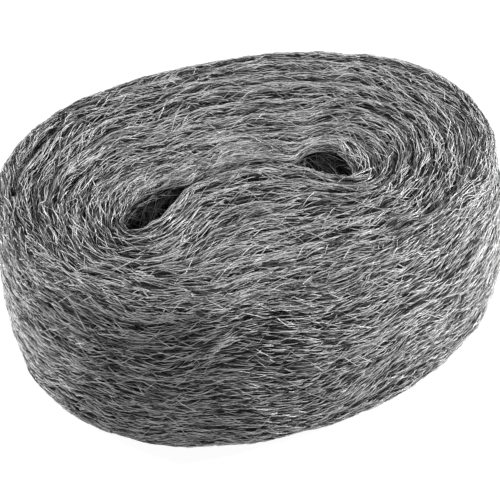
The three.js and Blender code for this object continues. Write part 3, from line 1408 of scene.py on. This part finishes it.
@dataclass
class EyeCrossings(StrandPiece):
    """Thin strands that cross the two eyes from side to side, a little way down.

    Args:
        count: how many strands there are.
        left_share: the share of them that cross the left eye.
        along_share: the share of them that run along the eye rather than across it.
        depth: how far down they run, from the top of the groove round the slit.
        left_reach: the left eye's part of the winding's first half turn, from the round end.
        right_reach: that of the right eye.
        skew: how far towards the other end those that run along the eye go.
        round_end: how many times their depth they run down at an eye's round end.
        rise: how much of their depth they rise by where an eye closes.
        past_edges: how far a strand goes on past the eye's edges, as a part of its length.
        tone: the tone of the highest ones.
        painted_depth_shade: how much darker the deepest ones are, as painted shade down in the
            eyes.
        tone_spread: the spread of the tones.
        tone_limits: the dullest and the brightest that they may be.
        sag: how far a strand's middle hangs.
        slack: the least and the most of that sag that a strand has.
        bend: the spread of how far it bends sideways.
        thickness: the thinnest and the thickest strand.
        points: how many points a strand runs through.
        seed: the random draw.
    """

    name: str = "strands_across_the_eyes"
    count: int = 100
    left_share: float = 0.6
    along_share: float = 0.65
    depth: Span = (0.0, 0.012)
    left_reach: Span = (0.47, 0.31)
    right_reach: Span = (0.03, 0.16)
    skew: Span = (0.6, 1.0)
    round_end: float = 1.15
    rise: float = 1.0
    past_edges: float = 0.12
    tone: float = 0.66
    painted_depth_shade: float = 0.4
    tone_spread: float = 0.1
    tone_limits: Span = (0.02, 0.95)
    sag: float = 0.0015
    slack: Span = (-0.3, 1.0)
    bend: float = 0.0014
    thickness: Span = (0.00012, 0.00018)
    points: int = 9
    seed: int = 301
    finish: StrandFinish = field(default_factory=StrandFinish)

    def strands(self, shape: RollShape) -> Strands:
        """Runs each strand from a point on one side of an eye to one on the other.

        Args:
            shape: the roll.

        Returns:
            The strands.
        """
        rng = np.random.default_rng(self.seed)
        is_left = rng.random(self.count) < self.left_share
        reach = np.where(is_left[:, None], self.left_reach, self.right_reach)
        drawn = np.sqrt(rng.random((2, self.count)))
        along = rng.random(self.count) < self.along_share
        drawn[1] = np.where(along, 1 - drawn[0] * rng.uniform(*self.skew, self.count), drawn[1])
        places = reach[:, 0] + drawn * (reach[:, 1] - reach[:, 0])
        start = shape.slit_edge(FULL_CIRCLE * places[0])
        end = shape.slit_edge(-FULL_CIRCLE * places[1])
        depths = rng.uniform(*self.depth, size=(2, self.count))
        depths = depths * (self.round_end - self.rise * drawn)
        levels = shape.height - shape.groove - depths
        ways = np.linspace(-self.past_edges, 1 + self.past_edges, self.points)[None, :]
        arch = 4 * ways * (1 - ways)
        bend = rng.normal(0, self.bend, size=(self.count, 1, 2))
        flat = start[:, None] + (end - start)[:, None] * ways[..., None] + bend * arch[..., None]
        sag = rng.uniform(*self.slack, size=(self.count, 1)) * self.sag * arch
        level = levels[0][:, None] + (levels[1] - levels[0])[:, None] * ways - sag
        spots = np.concatenate([flat, level[..., None]], -1)
        normals = np.zeros_like(spots)
        normals[..., 2] = 1
        # Painted shade: the deeper a strand hangs in the eye, the darker its tone.
        deep = (shape.height - levels.mean(0)) / self.depth[1]
        tones = self.tone - self.painted_depth_shade * deep + rng.normal(0, self.tone_spread, self.count)
        tones = np.clip(tones, *self.tone_limits)
        radius = rng.uniform(*self.thickness, size=self.count) / math.sqrt(3)
        return Strands(spots, normals, radius, tones)


def deep_crossings() -> EyeCrossings:
    """Describes the loose wool that fills the eyes lower down, given a dark tone as painted shade
    so that the eyes show dark.

    Returns:
        The strands to lay.
    """
    return EyeCrossings(
        name="strands_deep_in_the_eyes",
        count=700,
        left_share=0.55,
        along_share=0.3,
        depth=(0.016, 0.046),
        left_reach=(0.49, 0.29),
        right_reach=(0.01, 0.19),
        rise=0.0,
        # Painted shade: a dark tone for the strands deep in the eyes.
        tone=0.16,
        painted_depth_shade=0.1,
        thickness=(0.00018, 0.00026),
        points=6,
        seed=303,
    )


def strand_layers(shape: RollShape) -> list[StrandLay]:
    """Lists every layer of strands, from the deepest to the loosest.

    Args:
        shape: the roll.

    Returns:
        The layers.
    """
    fine, bright, coarse = (0.00011, 0.00017), (0.00014, 0.00021), (0.00015, 0.00023)
    # Painted shade: the inner strands lie lowest and take a dark tone for the shade down in the
    # wool.
    inner = {
        "lift": (-0.0006, -0.0001), "slant": 0.08, "swing": 0.0001, "thickness": coarse,
        "tone": 0.15, "tone_spread": 0.12, "stream_seed": 42,
    }
    outer = {"lift": (-0.0001, 0.0003), "thickness": fine, "tone_spread": 0.28}
    # Painted highlight: the highest, shortest strands take a near-white tone, standing in for
    # glints.
    glossy_painted_glints = {
        "lift": (0.0001, 0.0005), "swing": 0.0003, "thickness": bright,
        "tone": 0.94, "tone_spread": 0.18, "wayward": 0.24,
    }
    loose = {"swing": 0.0008, "thickness": fine, "tone_spread": 0.08, "points": 12}
    upper = {"side": Side.UPPER}
    wall = {
        "side": Side.WALL, "across": (0.001, shape.wall_reach()), "turns": (8.0, 9.0),
        "stream_size": 0.03,
    }
    return [
        StrandLay(
            "upper_face_inner_strands", count=4200, length=(0.008, 0.016),
            streams=0.08, points=6, seed=101, **upper, **inner,
        ),
        StrandLay(
            "upper_face_outer_strands", count=7300, length=(0.008, 0.017),
            slant=0.11, streams=0.10, swing=0.0003, tone=0.38, points=6, seed=102,
            **upper, **outer,
        ),
        StrandLay(
            "upper_face_bright_strands", count=6000, length=(0.005, 0.012),
            slant=0.18, streams=0.10, points=5, seed=110, **upper, **glossy_painted_glints,
        ),
        StrandLay(
            "tangled_strands_by_the_slit", count=900, length=(0.004, 0.009),
            lift=(0.0, 0.0004), slant=0.60, streams=0.30, swing=0.0006, thickness=fine,
            tone=0.72, tone_spread=0.24, across=(0.1, 1.9), turns=(0.47, 0.80), wayward=0,
            seed=111, **upper,
        ),
        StrandLay(
            "wall_inner_strands", count=5000, length=(0.012, 0.022),
            streams=0.12, seed=103, **wall, **inner,
        ),
        StrandLay(
            "wall_outer_strands", count=8600, length=(0.008, 0.020),
            slant=0.09, streams=0.13, swing=0.0002, tone=0.34, seed=104, **wall, **outer,
        ),
        StrandLay(
            "wall_bright_strands", count=12500, length=(0.004, 0.011),
            slant=0.17, streams=0.13, points=4, seed=109, **wall, **glossy_painted_glints,
        ),
        StrandLay(
            "underside_strands", Side.UNDER, count=5000, length=(0.008, 0.018),
            lift=(-0.0004, 0.0002), slant=0.10, streams=0.10, swing=0.00015,
            thickness=coarse, tone=0.64, tone_spread=0.24, seed=105,
        ),
        StrandLay(
            "eye_wall_strands", Side.EYE, count=900, length=(0.004, 0.011),
            lift=(-0.0002, 0.0003), slant=0.25, streams=0.10, swing=0.0004, thickness=fine,
            tone=0.60, tone_spread=0.18, across=(0.0, 0.024), turns=(0.02, 0.98), points=6,
            seed=106,
        ),
        StrandLay(
            "long_loose_strands", count=200, length=(0.014, 0.030), lift=(0.0002, 0.0005),
            slant=0.18, streams=0.16, tone=0.90, seed=107, **wall, **loose,
        ),
        StrandLay(
            "long_loose_strands_above", count=140, length=(0.010, 0.022),
            lift=(0.0001, 0.0004), slant=0.20, streams=0.14, tone=0.88, wayward=0,
            seed=108, **upper, **loose,
        ),
    ]


# Studio and camera


@dataclass(frozen=True)
class Lamp:
    """A soft square lamp that shines on the roll.

    Args:
        name: its name.
        place: where it hangs.
        size: the length of its side.
        power: its power in watts.
        aim: the point that it shines on.
    """

    name: str
    place: Spot
    size: float
    power: float
    aim: Spot = (0.0, 0.0, 0.03)

    def build(self) -> None:
        """Hangs the lamp."""
        data = bpy.data.lights.new(self.name, "AREA")
        data.size = self.size
        data.energy = self.power
        lamp = bpy.data.objects.new(self.name, data)
        bpy.context.scene.collection.objects.link(lamp)
        lamp.location = self.place
        towards = Vector(self.aim) - Vector(self.place)
        lamp.rotation_mode = "QUATERNION"
        lamp.rotation_quaternion = towards.to_track_quat("-Z", "Y")


@dataclass
class Studio:
    """A plain pale floor and soft light.

    Args:
        floor_size: the length of the floor's side.
        floor_colour: how much of the lamps' light the floor throws back.
        floor_glow: how white it shows to the camera on its own.
        floor_roughness: how rough it is.
        world_light: the light of the world round it.
        lamps: the lamps.
    """

    floor_size: float = 6.0
    floor_colour: float = 0.16
    floor_glow: float = 0.93
    floor_roughness: float = 0.9
    world_light: float = 0.10
    lamps: tuple[Lamp, ...] = (
        Lamp("key", (0.82, -0.14, 0.34), size=0.08, power=10.2),
        Lamp("side", (-0.68, 0.50, 0.34), size=0.12, power=7.4),
        Lamp("fill", (-0.10, -0.70, 0.50), size=0.14, power=1.5),
    )

    def build(self) -> None:
        """Makes the floor, the world and the lamps."""
        self._floor()
        self._world()
        for lamp in self.lamps:
            lamp.build()
        bpy.context.scene.view_settings.view_transform = "Standard"
        log.info("studio: floor, world and lamps")

    @staticmethod
    def _white_rays(wires: Wiring) -> Socket:
        """Marks the rays that see the studio white: the camera's, and those off metal or glass."""
        rays = wires.add("LightPath")
        either = wires.math("MAXIMUM", rays["Is Camera Ray"], rays["Is Glossy Ray"])
        return wires.math("MAXIMUM", either, rays["Is Transmission Ray"])

    def _floor(self) -> None:
        """Lays a pale floor that shows white to the camera where nothing shades it."""
        half = self.floor_size / 2
        corners = [(-half, -half, 0), (half, -half, 0), (half, half, 0), (-half, half, 0)]
        mesh = bpy.data.meshes.new("floor")
        mesh.from_pydata(corners, [], [(0, 1, 2, 3)])
        floor = bpy.data.objects.new("floor", mesh)
        bpy.context.scene.collection.objects.link(floor)
        mat = bpy.data.materials.new("pale floor")
        mat.use_nodes = True
        wires, shader = Wiring(mat.node_tree), mat.node_tree.nodes["Principled BSDF"]
        shader.inputs["Base Color"].default_value = grey(self.floor_colour)
        shader.inputs["Roughness"].default_value = self.floor_roughness
        shader.inputs["Emission Color"].default_value = grey(1.0)
        glow = wires.math("MULTIPLY", self._white_rays(wires), self.floor_glow)
        wires.feed(shader, {"Emission Strength": glow})
        mesh.materials.append(mat)

    def _world(self) -> None:
        """Makes a plain grey world that shows white to the camera and in reflections."""
        world = bpy.data.worlds.new("studio")
        bpy.context.scene.world = world
        world.use_nodes = True
        wires, back = Wiring(world.node_tree), world.node_tree.nodes["Background"]
        white = self._white_rays(wires)
        inputs = {"Value": white, "To Min": self.world_light, "To Max": 1.0}
        strength = wires.add("MapRange", inputs)["Result"]
        wires.feed(back, {"Color": grey(1.0), "Strength": strength})


@dataclass(frozen=True)
class PhotoCamera:
    """The camera at the photograph's place: angles in radians, sizes in metres.

    Args:
        azimuth: how far it stands to the side, from straight in front.
        elevation: how far it looks down.
        roll: how far it is turned about its own line of sight.
        distance: how far it is from its target.
        target: the point that it looks at.
        lens: its focal length in millimetres.
        sensor: the width of its sensor in millimetres.
        clip: the nearest and the furthest that it sees.
    """

    azimuth: float = math.radians(-11.87)
    elevation: float = math.radians(42.4)
    roll: float = -0.081
    distance: float = 0.5138
    target: Spot = (-0.00365, -0.00826, 0.0313)
    lens: float = 127.75
    sensor: float = 36.0
    clip: Span = (0.01, 20.0)

    def build(self) -> None:
        """Makes the camera and gives it to the scene."""
        data = bpy.data.cameras.new("camera")
        data.lens, data.sensor_width = self.lens, self.sensor
        data.clip_start, data.clip_end = self.clip
        camera = bpy.data.objects.new("camera", data)
        bpy.context.scene.collection.objects.link(camera)
        flat = math.cos(self.elevation)
        x, y = math.sin(self.azimuth) * flat, -math.cos(self.azimuth) * flat
        back = Vector((x, y, math.sin(self.elevation)))
        right = Vector((math.cos(self.azimuth), math.sin(self.azimuth), 0))
        up = back.cross(right)
        turned = math.cos(self.roll) * right + math.sin(self.roll) * up
        over = back.cross(turned)
        place = Vector(self.target) + back * self.distance
        columns = Matrix((turned, over, back)).transposed().to_4x4()
        camera.matrix_world = Matrix.Translation(place) @ columns
        bpy.context.scene.camera = camera
        log.info("camera: %.0f mm from the roll", self.distance * 1000)


# Making it all


def report(piece: bpy.types.Object) -> None:
    """Logs the name of a piece and how many triangles it has."""
    triangles = len(piece.data.loops) - 2 * len(piece.data.polygons)
    log.info("%s: %d triangles", piece.name, triangles)


def main() -> None:
    """Builds the camera, the studio and every piece of the roll, and reports each piece."""
    PhotoCamera().build()
    Studio().build()
    shape = RollShape.from_solid(NODE)
    report(PackedWool(shape).build())
    for piece in (*strand_layers(shape), EyeCrossings(), deep_crossings()):
        report(piece.build(shape))


if __name__ == "__main__":
    main()
